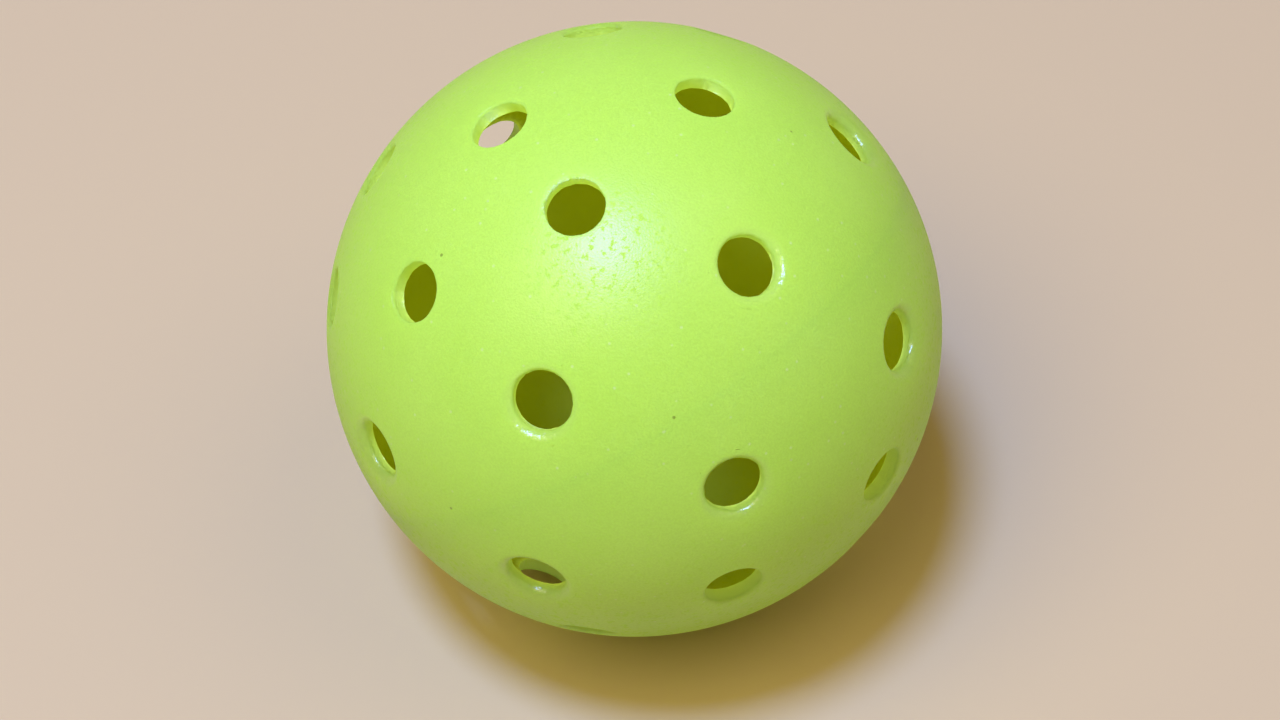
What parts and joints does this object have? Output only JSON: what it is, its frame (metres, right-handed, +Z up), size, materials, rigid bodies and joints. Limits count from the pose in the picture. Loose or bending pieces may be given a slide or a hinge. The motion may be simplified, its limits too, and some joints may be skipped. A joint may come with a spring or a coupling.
{
  "type": "pickleball",
  "caption": "Hollow perforated plastic ball of two half shells welded at the equator, with staggered rings of round air holes, for paddle play.",
  "frame": {"origin": "centre of the ball", "axes": "+Z up as the ball lies on a floor, +Y away from the viewer, +X to the viewer's right; the ball's poles lean 43.5 degrees from +Z"},
  "size_m": [0.074, 0.074, 0.074],
  "materials": {
    "shell_plastic": "satin moulded polyethylene, neon yellow-green, slightly translucent",
    "weld_plastic": "remelted polyethylene of the same colour, left as it cooled"
  },
  "bodies": {
    "root": {"upper_half_shell": "shell_plastic", "lower_half_shell": "shell_plastic", "weld_bead": "weld_plastic"}
  },
  "joints": []
}
